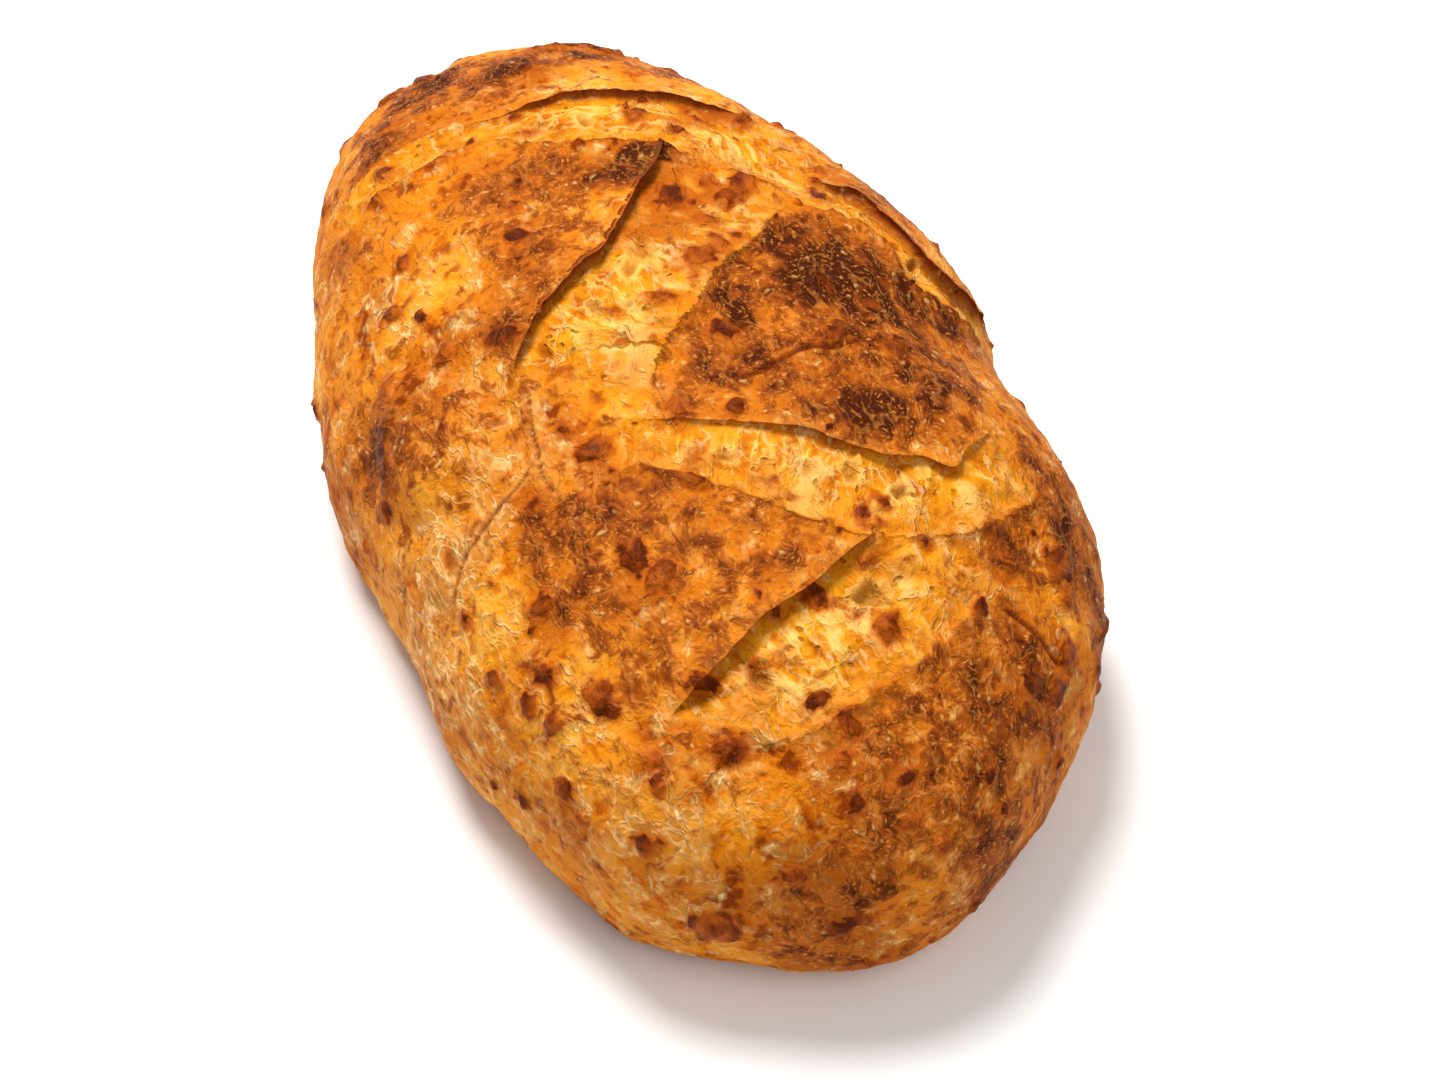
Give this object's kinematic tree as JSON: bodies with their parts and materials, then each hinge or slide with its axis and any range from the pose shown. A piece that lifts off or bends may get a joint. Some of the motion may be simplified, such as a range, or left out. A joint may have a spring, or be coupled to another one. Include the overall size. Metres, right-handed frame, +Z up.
{
  "type": "sourdough loaf",
  "caption": "Oval scored sourdough loaf, baked as one piece, with a domed golden crust, toasted curled flaps along its cuts, and a flat base to rest on.",
  "frame": {"origin": "on the base plane, under the middle of the loaf's box", "axes": "+X along the loaf's long axis, +Y across it, +Z up through the crown"},
  "size_m": [0.282, 0.1654, 0.0881],
  "materials": {
    "crust": "matte"
  },
  "bodies": {
    "root": {"loaf": "crust"}
  },
  "joints": []
}
